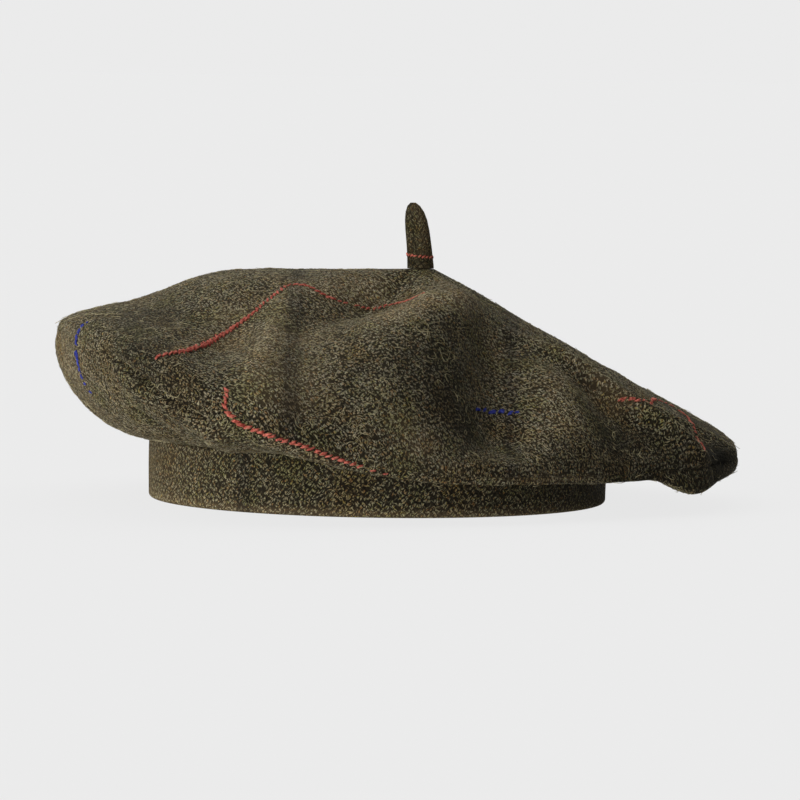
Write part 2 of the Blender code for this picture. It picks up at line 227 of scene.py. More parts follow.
def round_and_round(turns, values, at):
    """Cubic curve through the values at their turns, which closes on itself after 360 degrees."""
    knots = np.concatenate([np.array(turns[-2:]) - 360.0, turns, np.array(turns[:2]) + 360.0])
    ends = np.concatenate([values[-2:], values, values[:2]])
    slopes = np.gradient(ends, knots)
    place = np.mod(np.asarray(at, float) - knots[2], 360.0) + knots[2]
    left = np.clip(np.searchsorted(knots, place, side="right") - 1, 0, len(knots) - 2)
    span = knots[left + 1] - knots[left]
    share = (place - knots[left]) / span
    return hermite(share, span, ends[left], ends[left + 1], slopes[left], slopes[left + 1])


def hermite(share, span, start, end, start_slope, end_slope):
    """Cubic from start to end with the given slopes, read at share 0 to 1 of the span."""
    square, cube = share ** 2, share ** 3
    return ((2 * cube - 3 * square + 1) * start + (cube - 2 * square + share) * span * start_slope
            + (3 * square - 2 * cube) * end + (cube - square) * span * end_slope)


def along(knots, points, places):
    """Smooth curves through points (knot, column, axis), read at the places."""
    knots = np.array(knots)
    slopes = np.gradient(points, knots, axis=0)
    left = np.clip(np.searchsorted(knots, places, side="right") - 1, 0, len(knots) - 2)
    span = (knots[left + 1] - knots[left])[:, None, None]
    share = (places - knots[left])[:, None, None] / span
    return hermite(share, span, points[left], points[left + 1], slopes[left], slopes[left + 1])


def oval_distance(turn, grow):
    """Distance from the stalk to the band's oval grown by a length: the root of its quadratic."""
    half_long, half_short = BAND_LONG / 2 + grow, BAND_SHORT / 2 + grow
    cosine, sine = np.cos(np.radians(turn)), np.sin(np.radians(turn))
    square = (cosine / half_long) ** 2 + (sine / half_short) ** 2
    linear = STALK_OFFSET * cosine / half_long ** 2
    constant = (STALK_OFFSET / half_long) ** 2 - 1.0
    return (np.sqrt(linear ** 2 - square * constant) - linear) / square


def meridian_lines(turn, places):
    """Distance and height of the crown for each place and turn, before its folds.

    The top is a cubic through seat, inner point, brow, bulging face, rounded shoulder and rim. The
    side is a Bezier from the rim, pulled down, to the band's edge, with a flat lap to the hem.
    """
    columns = np.array(MERIDIANS, float).T
    over, rim, brow, crest, dip, belly, swell, sag = (
        round_and_round(columns[0], column, turn) for column in columns[1:])

    def point(distance, height):
        return np.stack([distance + 0.0 * turn, height + 0.0 * turn], 1)

    rim_distance = oval_distance(turn, 0.0) + over * OVERHANG
    rim_at = point(rim_distance, rim * CROWN_RISE)
    seat_at = point(STALK_WIDTH / 2 + SEAT_MARGIN, CROWN_RISE)
    brow_at = point(brow * rim_distance, crest * CROWN_RISE)
    inner_at = seat_at + (brow_at - seat_at) * np.stack([0.5 + 0.0 * dip, dip], 1)
    fall = rim_at - brow_at
    outward = np.stack([-fall[:, 1], fall[:, 0]], 1) / np.linalg.norm(fall, axis=1)[:, None]
    face_at = (brow_at + rim_at) / 2 + outward * (belly * CROWN_RISE)[:, None]
    arrive = rim_at - face_at
    arrive /= np.linalg.norm(arrive, axis=1)[:, None]
    corner_at = rim_at + np.array([0.0, RIM_ROUND])
    shoulder_at = corner_at - arrive * RIM_ROUND
    lip_at = corner_at / 2 + (shoulder_at + rim_at) / 4
    strip_at = rim_at + np.array([0.0, RIM_STRIP])
    top = np.stack([seat_at, inner_at, brow_at, face_at, shoulder_at, lip_at, strip_at, rim_at])

    pulled_at = rim_at + np.stack([swell * OVERHANG, -sag * CROWN_RISE], 1)
    hem_out = point(oval_distance(turn, HEM_OUTSIDE), BAND_HEIGHT + GAP)
    hem_in = point(oval_distance(turn, HEM_SHORT - BAND_WALL), BAND_HEIGHT + GAP)
    level = point(hem_out[:, 0] + LEVEL_SHARE * (rim_distance - hem_out[:, 0]), BAND_HEIGHT + GAP)
    share = np.clip((places - 1.0) / (HEM_START - 1.0), 0.0, 1.0)[:, None, None]
    rest = 1.0 - share
    side = (rest ** 3 * rim_at + 3 * rest ** 2 * share * pulled_at
            + 3 * rest * share ** 2 * level + share ** 3 * hem_out)
    side = side + np.clip((places - HEM_START) / (2.0 - HEM_START), 0.0, 1.0)[:, None, None] * (
        hem_in - hem_out)
    face = along(TOP_KNOTS, top, np.minimum(places, 1.0))
    return np.where((places <= 1.0)[:, None, None], face, side)


def grid_normals(points):
    """Unit normals of a grid (row, column, axis) that closes on itself from column to column."""
    across = np.roll(points, -1, axis=1) - np.roll(points, 1, axis=1)
    normals = np.cross(np.gradient(points, axis=0), across)
    return normals / np.maximum(np.linalg.norm(normals, axis=2, keepdims=True), 1e-12)


def fold_push(table, distance, turn, places):
    """Height of the folds, summed: s (2 - s) along each, where s is a squared sine, and a bell
    curve across it. Its turn eases to the last one, as a straight crease past the stalk does."""
    push = np.zeros(distance.shape)
    for first, last, start, end, width, height in table:
        share = np.clip((places - start) / (end - start), 0.0, 1.0)[:, None]
        middle = first + (last - first) * np.sin(math.pi / 2 * share)
        aside = np.radians((turn[None, :] - middle + 180.0) % 360.0 - 180.0) * distance
        length = np.sin(math.pi * share) ** 2
        push += (height * CROWN_RISE * length * (2.0 - length)
                 * np.exp(-(aside / (width * CROWN_RISE)) ** 2))
    return push


def slack(points, size):
    """Soft unevenness of hand-pulled wool: a sum of crossed sines of the point's place."""
    x, y, z = (points[..., axis] / size for axis in range(3))
    return (np.sin(2.1 * x + 1.3 * np.sin(1.7 * z + 0.4)) * np.sin(1.9 * y + 1.1 * np.sin(1.3 * x))
            + 0.6 * np.sin(3.7 * z + 2.1 * np.sin(1.1 * y) + 1.2) * np.sin(3.1 * x - 1.4 * y + 0.7)
            + 0.35 * np.sin(6.3 * y + 4.1 * z) * np.sin(5.2 * x - 3.3 * z + 2.0))


def crown_surface(turn, places):
    """Outer face of the crown: its meridians turned about the stalk, then pushed along the normals
    by the folds, the small puckers, the slack and the ditch at the seam."""
    lines = meridian_lines(turn, places)
    distance, height = lines[:, :, 0], lines[:, :, 1]
    points = np.stack([STALK_OFFSET + distance * np.cos(np.radians(turn)),
                       distance * np.sin(np.radians(turn)), height], 2)
    points += grid_normals(points) * fold_push(FOLDS, distance, turn, places)[:, :, None]

    # The fine folds fade out by the stalk and by the hem.
    reach = np.clip((places - 0.10) / 0.12, 0.0, 1.0) * np.clip((1.90 - places) / 0.15, 0.0, 1.0)
    fine = fold_push(PUCKERS, distance, turn, places) + 0.22 * MM * slack(points, 0.011)

    # The ditch at the rim seam is a bell 0.5 mm deep and 1.2 mm to a side. It is a tenth as deep
    # on the near side, about turn 280, and gone at the left end, about turn 182.
    drawn_up = np.interp(turn, *np.array(SEAM_DRAWN_UP).T)
    from_seam = (places[:, None] - 1.0 + drawn_up[None, :]) * 0.15
    front = np.abs((turn - 280.0 + 180.0) % 360.0 - 180.0)
    left = np.exp(-((turn - 182.0) / 9.0) ** 2)
    seen = (0.10 + 0.90 * np.clip(front / 20.0 - 2.1, 0.0, 1.0)) * (1.0 - left)
    push = (fine - 0.50 * MM * seen * np.exp(-(from_seam / (1.2 * MM)) ** 2)) * reach[:, None]
    return points + grid_normals(points) * push[:, :, None]


def cloth_map(turn, places, points):
    """The cloth's own coordinates: each panel opened out flat about the stalk, as lengths. The top
    is measured out from the stalk, and the side out from its hem."""
    steps = np.linalg.norm(np.diff(points, axis=0), axis=2)
    run = np.concatenate([np.zeros((1, points.shape[1])), np.cumsum(steps, axis=0)])
    run = run + STALK_WIDTH / 2
    hem = np.hypot(points[-1, :, 0] - STALK_OFFSET, points[-1, :, 1])
    run = np.where((places > 1.0)[:, None], hem + run[-1] - run, run)
    return np.stack([run * np.cos(np.radians(turn)), run * np.sin(np.radians(turn))], 2)


def shell_mesh(name, rings, flat, closed=False, first_cap=False, last_cap=False):
    """Mesh of a grid that closes from column to column, with its cloth coordinates as UVs."""
    rows, columns = rings.shape[:2]
    row, column = np.meshgrid(np.arange(rows if closed else rows - 1), np.arange(columns),
                              indexing="ij")
    below, beside = (row + 1) % rows, (column + 1) % columns
    corners = np.stack([row * columns + column, below * columns + column,
                        below * columns + beside, row * columns + beside], 2).reshape(-1, 4)
    faces = corners.tolist()
    if first_cap:
        faces.append(list(range(columns)))
    if last_cap:
        faces.append([(rows - 1) * columns + at for at in reversed(range(columns))])
    mesh = bpy.data.meshes.new(name)
    mesh.from_pydata((rings.reshape(-1, 3) + BAND_MIDDLE).tolist(), [], faces)
    indices = np.zeros(len(mesh.loops), np.int32)
    mesh.loops.foreach_get("vertex_index", indices)
    layer = mesh.uv_layers.new(name="cloth")
    layer.data.foreach_set("uv", flat.reshape(-1, 2)[indices].astype(np.float32).ravel())
    mesh.shade_smooth()
    mesh.update()
    return mesh


def add_point_attribute(mesh, name, values):
    """A number for each point of the mesh, which a material can read."""
    layer = mesh.attributes.new(name, "FLOAT", "POINT")
    layer.data.foreach_set("value", values.astype(np.float32).ravel())


def piece(mesh, material, slot, *nodes):
    """An object for the mesh that rides on the hat and stands for the CAD nodes it replaces."""
    mesh.materials.append(material)
    item = bpy.data.objects.new(mesh.name, mesh)
    bpy.context.scene.collection.objects.link(item)
    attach(item, "root")
    if nodes:
        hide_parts(*nodes)
    return item


def ridge_height(points, reach):
    """How far each point stands above its neighbours' mean along the normal, as on ridges."""
    spread = points.copy()
    for shift in (reach, -reach):
        spread = spread + np.roll(points, shift, axis=1)
    rows = points.shape[0]
    up = points[np.clip(np.arange(rows) - reach, 0, rows - 1)]
    down = points[np.clip(np.arange(rows) + reach, 0, rows - 1)]
    mean = (spread + up + down) / 5
    return ((points - mean) * grid_normals(points)).sum(axis=2)


def painted_light_and_shade_map(turn, places):
    """The painted light and shade of the table: bell curves in turn and place, summed."""
    tone_and_painted_light = np.zeros((len(places), len(turn)))
    for middle, place, width, length, much in PAINTED_LIGHT_AND_SHADE:
        aside = ((turn - middle + 180.0) % 360.0 - 180.0) / width
        down = (places - place) / length
        tone_and_painted_light += much * np.exp(-down[:, None] ** 2 - aside[None, :] ** 2)
    return tone_and_painted_light


def linear(hex_colour):
    """Linear colour of an sRGB hex value."""
    parts = np.array([int(hex_colour[at:at + 2], 16) for at in (1, 3, 5)]) / 255.0
    curve = np.where(parts <= 0.04045, parts / 12.92, ((parts + 0.055) / 1.055) ** 2.4)
    return (*curve.tolist(), 1.0)


def node(tree, kind, links=None, stops=(), **settings):
    """Adds a node. Links map an input to a number, colour or socket, stops are a colour ramp's
    positions and hex colours, and the settings are its other properties."""
    made = tree.nodes.new(kind)
    for name, value in settings.items():
        setattr(made, name, value)
    for name, value in (links or {}).items():
        if isinstance(value, bpy.types.NodeSocket):
            tree.links.new(value, made.inputs[name])
        else:
            made.inputs[name].default_value = value
    for at, (position, colour) in enumerate(stops):
        steps = made.color_ramp.elements
        step = steps[at] if at < len(steps) else steps.new(position)
        step.position, step.color = position, linear(colour)
    return made


# A colour Mix node's two colours and its result, among its sockets for every kind of value.
FIRST, SECOND, MIXED = 6, 7, 2


# Woollen tweed: carded wool of several browns and olives, woven in twill and lightly milled, so
# the eye sees short pale kemp flecks over dark gaps, a soft diagonal rib and no shine.
def woollen_tweed(name, dark, middle, pale, navy_stripes=()):
    material = bpy.data.materials.new(name)
    material.use_nodes = True
    tree = material.node_tree
    shader = tree.nodes["Principled BSDF"]

    # The cloth's coordinates in millimetres, straight, and wandering by about a millimetre.
    cloth = node(tree, "ShaderNodeUVMap", uv_map="cloth").outputs["UV"]
    straight = node(tree, "ShaderNodeMapping", {
        "Vector": cloth, "Scale": (1000, 1000, 1000)}).outputs["Vector"]
    wander = node(tree, "ShaderNodeTexNoise", {"Vector": straight, "Scale": 0.45, "Detail": 2.0})
    bent = node(tree, "ShaderNodeVectorMath", {0: wander.outputs["Color"], 1: (0.5, 0.5, 0.5)},
                operation="SUBTRACT")
    bent = node(tree, "ShaderNodeVectorMath", {0: bent.outputs["Vector"], "Scale": 2.2},
                operation="SCALE")
    wandering = node(tree, "ShaderNodeVectorMath", {0: straight, 1: bent.outputs["Vector"]},
                     operation="ADD").outputs["Vector"]

    # Flecks, one to a cell of 2.1 by 0.8 mm, which lie along both diagonals of the weave, more of
    # them along the first. Each is a pale dash with a dark gap round it, in a tone of its own.
    dashes = []
    for angle, start, least in ((52, 0.0, 0.00), (-44, 31.7, 0.25)):
        turned = node(tree, "ShaderNodeMapping", {
            "Vector": wandering, "Location": (start, start, 0),
            "Rotation": (0, 0, math.radians(angle))})
        laid = node(tree, "ShaderNodeMapping", {
            "Vector": turned.outputs["Vector"], "Scale": (0.48, 1.30, 1.0)})
        cell = node(tree, "ShaderNodeTexVoronoi", {
            "Vector": laid.outputs["Vector"], "Scale": 1.0, "Randomness": 0.85},
            voronoi_dimensions="2D")
        dash = node(tree, "ShaderNodeMapRange", {
            "Value": cell.outputs["Distance"], "From Min": 0.10, "From Max": 0.38,
            "To Min": 1.0, "To Max": 0.0})
        own = node(tree, "ShaderNodeSeparateColor", {"Color": cell.outputs["Color"]})
        own = node(tree, "ShaderNodeMapRange", {
            "Value": own.outputs["Red"], "From Min": least, "From Max": least + 0.6})
        dashes.append(node(tree, "ShaderNodeMath", {
            0: dash.outputs["Result"], 1: own.outputs["Result"]},
            operation="MULTIPLY").outputs["Value"])
    fleck = node(tree, "ShaderNodeMath", {0: dashes[0], 1: dashes[1]},
                 operation="MAXIMUM").outputs["Value"]

    # The gaps run from dark to middle brown, and the flecks from pale to tan, olive and rust.
    valley = node(tree, "ShaderNodeTexNoise", {
        "Vector": wandering, "Scale": 0.9, "Detail": 2.0, "Roughness": 0.6}).outputs["Fac"]
    shade = node(tree, "ShaderNodeValToRGB", {"Fac": valley}, stops=(
        (0.36, dark), (0.47, middle))).outputs["Color"]
    hue = node(tree, "ShaderNodeTexNoise", {
        "Vector": wandering, "Scale": 0.55, "Detail": 2.0}).outputs["Fac"]
    tone = node(tree, "ShaderNodeValToRGB", {"Fac": hue}, stops=(
        (0.32, "#E0B892"), (0.42, "#EFE3CC"), (0.50, "#FFFFFF"),
        (0.57, "#DDE6DC"), (0.64, "#EDE7A8"), (0.72, "#E4A98C"))).outputs["Color"]
    wool = node(tree, "ShaderNodeMix", {"Factor": 1.0, FIRST: tone, SECOND: linear(pale)},
                data_type="RGBA", blend_type="MULTIPLY").outputs[MIXED]
    show = node(tree, "ShaderNodeMapRange", {
        "Value": fleck, "From Min": 0.05, "From Max": 0.95}).outputs["Result"]
    colour = node(tree, "ShaderNodeMix", {"Factor": show, FIRST: shade, SECOND: wool},
                  data_type="RGBA").outputs[MIXED]

    # Patches some 15 to 40 mm wide where the carded mix runs browner or greener.
    patches = node(tree, "ShaderNodeTexNoise", {
        "Vector": straight, "Scale": 0.045, "Detail": 3.0}).outputs["Fac"]
    tint = node(tree, "ShaderNodeValToRGB", {"Fac": patches}, stops=(
        (0.36, "#F2E6D0"), (0.50, "#FFFFFF"), (0.64, "#E6E8CC"))).outputs["Color"]
    colour = node(tree, "ShaderNodeMix", {"Factor": 1.0, FIRST: colour, SECOND: tint},
                  data_type="RGBA", blend_type="MULTIPLY").outputs[MIXED]

    # Painted light and shade: the colour is mixed toward tan and made paler where the cloth folds
    # over, as a painted highlight, and darker where it lies deep, as painted shade.
    tone_and_painted_light = node(tree, "ShaderNodeAttribute", attribute_name="tone_and_painted_light").outputs["Fac"]
    painted_light_weight = node(tree, "ShaderNodeMapRange", {
        "Value": tone_and_painted_light, "From Min": 0.0, "From Max": 1.0, "To Max": 0.22}).outputs["Result"]
    colour = node(tree, "ShaderNodeMix", {"Factor": painted_light_weight, FIRST: colour, SECOND: linear("#77644A")},
                  data_type="RGBA").outputs[MIXED]
    # The colour is scaled up where light is painted and down where shade is painted.
    bright = node(tree, "ShaderNodeMath", {0: tone_and_painted_light, 1: 0.45, 2: 1.0}, operation="MULTIPLY_ADD")
    colour = node(tree, "ShaderNodeVectorMath", {0: colour, "Scale": bright.outputs["Value"]},
                  operation="SCALE").outputs["Vector"]

    # Dark navy stripes of the windowpane, 6 mm wide, along the hat's depth.
    if navy_stripes:
        place = node(tree, "ShaderNodeTexCoord").outputs["Object"]
        across = node(tree, "ShaderNodeSeparateXYZ", {"Vector": place}).outputs["X"]
        for stripe in navy_stripes:
            away = node(tree, "ShaderNodeMath", {0: across, 1: BAND_MIDDLE[0] + stripe * MM},
                        operation="SUBTRACT").outputs["Value"]
            away = node(tree, "ShaderNodeMath", {0: away}, operation="ABSOLUTE").outputs["Value"]
            mask = node(tree, "ShaderNodeMapRange", {
                "Value": away, "From Min": 2.2 * MM, "From Max": 4.2 * MM,
                "To Min": 0.45, "To Max": 0.0}).outputs["Result"]
            navy = node(tree, "ShaderNodeMix", {
                "Factor": 1.0, FIRST: colour, SECOND: linear("#7C7FA0")},
                data_type="RGBA", blend_type="MULTIPLY").outputs[MIXED]
            colour = node(tree, "ShaderNodeMix", {"Factor": mask, FIRST: colour, SECOND: navy},
                          data_type="RGBA").outputs[MIXED]

    # The twill's ribs are 1.6 mm apart, a little coarser than the real ones so that they show.
    turned = node(tree, "ShaderNodeMapping", {
        "Vector": wandering, "Rotation": (0, 0, math.radians(40))})
    rib = node(tree, "ShaderNodeTexWave", {
        "Vector": turned.outputs["Vector"], "Scale": 0.314 / 1.6, "Distortion": 1.4,
        "Detail": 2.0, "Detail Scale": 2.0})
    relief = node(tree, "ShaderNodeMath", {0: rib.outputs["Fac"], 1: 0.35, 2: fleck},
                  operation="MULTIPLY_ADD")
    bump = node(tree, "ShaderNodeBump", {
        "Height": relief.outputs["Value"], "Strength": 0.75, "Distance": 0.55 * MM})
    tree.links.new(colour, shader.inputs["Base Color"])
    tree.links.new(bump.outputs["Normal"], shader.inputs["Normal"])
    shader.inputs["Roughness"].default_value = 0.95
    shader.inputs["Specular IOR Level"].default_value = 0.15
    shader.inputs["Sheen Weight"].default_value = 0.08
    shader.inputs["Sheen Roughness"].default_value = 0.6
    shader.inputs["Sheen Tint"].default_value = linear("#C9BC8C")
    return material


# Wool in single strands, with no shine and a colour that mottles along it: worsted yarn dyed in
# one strong colour, or the pale coarse hairs and fine fuzz that stand out of undyed wool.
def strand_of_wool(name, deep, bright):
    material = bpy.data.materials.new(name)
    material.use_nodes = True
    tree = material.node_tree
    shader = tree.nodes["Principled BSDF"]
    place = node(tree, "ShaderNodeTexCoord").outputs["Object"]
    mottle = node(tree, "ShaderNodeTexNoise", {
        "Vector": place, "Scale": 900.0, "Detail": 2.0}).outputs["Fac"]
    colour = node(tree, "ShaderNodeValToRGB", {"Fac": mottle}, stops=(
        (0.36, deep), (0.62, bright))).outputs["Color"]
    tree.links.new(colour, shader.inputs["Base Color"])
    shader.inputs["Roughness"].default_value = 0.85
    shader.inputs["Specular IOR Level"].default_value = 0.2
    return material


def crown_cloth():
    """The crown as one piece of two sewn panels: its outer face on a fine grid, which turns in at
    the hem to an inner face one cloth inside it."""
    turn = np.arange(CROWN_COLUMNS) * 360.0 / CROWN_COLUMNS
    places = np.concatenate([
        np.linspace(0.0, 0.9, 92, endpoint=False), np.linspace(0.9, 1.0, 28, endpoint=False),
        np.linspace(1.0, 1.12, 24, endpoint=False), np.linspace(1.12, 2.0, 64)])
    points = crown_surface(turn, places)
    flat = cloth_map(turn, places, points)

    # The ridges are painted paler as a painted highlight, less so by the rim seam, and the table's
    # places are painted lighter or darker as painted light and shade.
    tone_and_painted_light = np.clip(ridge_height(points, 4) / (0.45 * MM), 0.0, 1.0)
    near_seam = np.abs(places - 1.0) < 0.15
    tone_and_painted_light[near_seam] = np.minimum(tone_and_painted_light[near_seam], 0.35)
    tone_and_painted_light = tone_and_painted_light * 0.6 + painted_light_and_shade_map(turn, places)
    picks = np.unique(np.linspace(0, len(points) - 1, LINING_ROWS).round().astype(int))[::-1]
    inner = points[picks] - grid_normals(points)[picks] * CLOTH
    mesh = shell_mesh("crown_cloth", np.concatenate([points, inner]),
                      np.concatenate([flat, flat[picks]]), first_cap=True, last_cap=True)
    add_point_attribute(mesh, "tone_and_painted_light", np.concatenate([tone_and_painted_light, 0.0 * tone_and_painted_light[picks]]))

    # The faces past the rim seam have the second material, the side panel's.
    place_of_row = np.concatenate([places, places[picks]])[:-1]
    on_side = np.repeat(place_of_row > 0.999, CROWN_COLUMNS)
    mesh.polygons.foreach_set("material_index", np.append(on_side, [False, False]).astype(np.int32))
    return mesh


def band_cloth():
    """The headband: its section runs down outside, round a rolled edge, across and up inside, and
    is carried round the oval; the outer face swells a little between its seams."""
    turn = np.radians(np.arange(BAND_COLUMNS) * 360.0 / BAND_COLUMNS)
    share = np.linspace(0.0, 1.0, 26)
    bend = np.linspace(0.0, math.pi / 2, 9)[1:]
    outside = [(-0.35 * MM * math.sin(math.pi * at), BAND_HEIGHT + (BAND_ROLL - BAND_HEIGHT) * at)
               for at in share]
    rolled = [(BAND_ROLL * (1 - math.cos(at)), BAND_ROLL * (1 - math.sin(at))) for at in bend]
    inside = [(BAND_WALL, BAND_HEIGHT * at) for at in np.linspace(0.0, 1.0, 12)]
    section = np.array(outside + rolled + inside)
    across, height = section[:, 0][:, None], section[:, 1][:, None]
    wave = 0.25 * MM * (np.sin(7 * turn + 1.0)
                        + 0.7 * np.sin(13 * turn + 2.2) * np.cos(height / (9 * MM)))
    wave = wave * np.sin(np.clip(height / BAND_HEIGHT, 0, 1) * math.pi) * (across < BAND_WALL / 2)
    inset = across + np.abs(wave) * 0.9
    rings = np.stack([(BAND_LONG / 2 - inset) * np.cos(turn),
                      (BAND_SHORT / 2 - inset) * np.sin(turn), height + 0.0 * inset], 2)
    run = np.concatenate([[0.0], np.cumsum(np.linalg.norm(np.diff(section, axis=0), axis=1))])
    flat = np.stack([turn[None, :] * BAND_LONG / 2 + 0.0 * inset, run[:, None] + 0.0 * inset], 2)
    mesh = shell_mesh("headband_cloth", rings, flat, closed=True)

    # The colour is paler along the lower edge, and paler at the left end, which faces the light, as
    # painted light.
    tone_and_painted_light = 1.2 * np.exp(-((height + 0.0 * inset - 1.0 * MM) / (2.5 * MM)) ** 2)
    add_point_attribute(mesh, "tone_and_painted_light", tone_and_painted_light + 0.7 * np.exp(-((turn - math.radians(195)) / 0.5) ** 2))
    return mesh


def stalk_surface(turn, share):
    """The stalk: rings whose breadth and lean follow smooth curves of the height."""
    table = np.array(STALK_RINGS)
    breadth = np.interp(share, table[:, 0], table[:, 1])[:, None]
    lean = np.interp(share, table[:, 0], table[:, 2])[:, None]
    breadth = breadth * (1 + 0.02 * np.sin(3 * turn + 6 * share[:, None]))
    east = STALK_OFFSET - lean * STALK_LEAN + breadth * STALK_WIDTH / 2 * np.cos(turn)
    north = breadth * STALK_DEPTH / 2 * np.sin(turn)
    level = CROWN_RISE + GAP + share[:, None] * STALK_HEIGHT
    return np.stack([east, north, level + 0.0 * turn], 2)


def stalk_cloth():
    """The stalk's skin from its rounded tip down to its foot."""
    turn = np.radians(np.arange(STALK_COLUMNS) * 360.0 / STALK_COLUMNS)
    share = 1.0 - np.concatenate([np.linspace(0.0, 0.3, 30, endpoint=False),
                                  np.linspace(0.3, 1.0, 50)])
    rings = stalk_surface(turn, share)
    flat = np.stack([turn[None, :] * STALK_WIDTH / 2 + 0.0 * share[:, None],
                     share[:, None] * STALK_HEIGHT + 0.0 * turn[None, :]], 2)
    mesh = shell_mesh("stalk_cloth", rings, flat, first_cap=True, last_cap=True)

    # The colour is paler to the right, and darker in a stripe just below the red ring.
    stripe = np.exp(-((share - 0.10) / 0.07) ** 2)[:, None]
    add_point_attribute(mesh, "tone_and_painted_light", 0.4 + 1.2 * np.cos(turn)[None, :] - 1.0 * stripe)
    return mesh


def spindles(name, start, middle, end, thick, sides=4, cuts=(0.0, 0.25, 0.75, 1.0)):
    """Closed yarns: a parabola through start, middle and end with a round section whose breadth is
    thick times the root of 1 - (2t - 1)^4, one for each row of the arrays, joined as one mesh."""
    t = np.array(cuts)[None, :, None]
    line = (start[:, None] * (1 - t) * (1 - 2 * t) + middle[:, None] * 4 * t * (1 - t)
            + end[:, None] * t * (2 * t - 1))
    ahead = np.gradient(line, axis=1)
    ahead /= np.maximum(np.linalg.norm(ahead, axis=2, keepdims=True), 1e-12)
    aside = np.cross(ahead, np.array([0.31, 0.17, 0.93]))
    aside /= np.maximum(np.linalg.norm(aside, axis=2, keepdims=True), 1e-12)
    over = np.cross(ahead, aside)
    angle = np.arange(sides) * 2 * math.pi / sides
    breadth = thick[:, None] / 2 * np.sqrt(np.clip(1 - (2 * t[..., 0] - 1) ** 4, 0.06, 1))
    ring = (line[:, :, None] + breadth[:, :, None, None] * (
        aside[:, :, None] * np.cos(angle)[:, None] + over[:, :, None] * np.sin(angle)[:, None]))
    count, rows = ring.shape[:2]
    row, side = np.meshgrid(np.arange(rows - 1), np.arange(sides), indexing="ij")
    beside = (side + 1) % sides
    quads = np.stack([row * sides + side, row * sides + beside, (row + 1) * sides + beside,
                      (row + 1) * sides + side], 2).reshape(-1, 4)
    tips = np.stack([np.arange(sides)[::-1], np.arange(sides) + (rows - 1) * sides])
    loops = np.concatenate([quads.ravel(), tips.ravel()])
    sizes = np.concatenate([np.full(len(quads), 4), np.full(2, sides)])
    all_loops = (loops[None, :] + (np.arange(count) * rows * sides)[:, None]).ravel()
    all_sizes = np.tile(sizes, count)
    starts = np.concatenate([[0], np.cumsum(all_sizes)[:-1]])
    mesh = bpy.data.meshes.new(name)
    vertices = ring.reshape(-1, 3) + BAND_MIDDLE
    mesh.vertices.add(len(vertices))
    mesh.vertices.foreach_set("co", vertices.astype(np.float32).ravel())
    mesh.loops.add(len(all_loops))
    mesh.loops.foreach_set("vertex_index", all_loops.astype(np.int32))
    mesh.polygons.add(len(all_sizes))
    mesh.polygons.foreach_set("loop_start", starts.astype(np.int32))
    mesh.polygons.foreach_set("loop_total", all_sizes.astype(np.int32))
    mesh.update(calc_edges=True)
    mesh.shade_smooth()
    return mesh


def sewn_cloth():
    """The crown's two panels, the headband and the stalk, each in its own mix of wool."""
    crown_wool = woollen_tweed("woollen tweed of the crown's top", "#0C0904", "#29241A", "#E0D6BA",
                               CROWN_STRIPES)
    side_wool = woollen_tweed("woollen tweed of the crown's side", "#0C0904", "#282218", "#D9CEB0")
    band_wool = woollen_tweed("woollen tweed of the headband", "#0B0904", "#241F16", "#C0B696",
                              BAND_STRIPES)
    stalk_wool = woollen_tweed("woollen tweed of the stalk", "#1B170E", "#3C3526", "#A89E80")
    crown = piece(crown_cloth(), crown_wool, "crown_tweed", "crown_top", "crown_side")
    crown.data.materials.append(side_wool)
    piece(band_cloth(), band_wool, "band_tweed", "headband")
    piece(stalk_cloth(), stalk_wool, "stalk_tweed", "stalk")


def stitched_line(points, normals, full, seed, yarn=1.5 * MM, pitch=2.6 * MM, slant=24.0, loose=1.0,
                  cover=1.2):
    """Slanted stitches along a line, one to a pitch, each of five loose strands side by side, as
    start, middle, end and breadth. A stitch is cover pitches long and a strand 0.44 yarns thick.
    Where the line is less full they are shorter and thinner, and more stitches are missing."""
    random = np.random.default_rng(seed)
    run = np.concatenate([[0.0], np.cumsum(np.linalg.norm(np.diff(points, axis=0), axis=1))])
    at = np.arange(pitch / 2, run[-1], pitch)
    at = at + random.normal(0, 0.10 * loose * pitch, len(at))
    at = at[random.random(len(at)) < 0.5 + 0.8 * np.interp(at, run, full)]
    fill = np.interp(at, run, full)
    turned = np.radians(random.normal(slant, 7 * loose, len(at)))
    long = pitch * cover * (0.58 + 0.42 * fill) * random.uniform(0.85, 1.15, len(at))
    at, fill, turned, long = (np.repeat(values, 5) for values in (at, fill, turned, long))
    strand = np.tile([-1.0, -0.5, 0.0, 0.5, 1.0], len(at) // 5)
    at = at + strand * 0.10 * pitch + random.normal(0, 0.05 * pitch, len(at))

    def read(values):
        """The line's values at the strands."""
        return np.stack([np.interp(at, run, values[:, axis]) for axis in range(3)], 1)

    middle, normal, ahead = read(points), read(normals), read(np.gradient(points, run, axis=0))
    normal /= np.linalg.norm(normal, axis=1, keepdims=True)
    ahead /= np.linalg.norm(ahead, axis=1, keepdims=True)
    aside = np.cross(normal, ahead)
    turned = (turned + random.normal(0, 0.16, len(at)))[:, None]
    along_it = ahead * np.cos(turned) + aside * np.sin(turned)
    stray = strand * 0.30 * yarn * fill + random.normal(0, 0.10 * loose, len(at)) * yarn
    middle = middle + aside * stray[:, None]
    thick = yarn * (0.17 + 0.27 * fill) * random.uniform(0.7, 1.3, len(at))
    half, lift = along_it * long[:, None] / 2, normal * thick[:, None] * 0.5
    return middle - half - lift * 0.6, middle + lift * 1.3, middle + half - lift * 0.6, thick


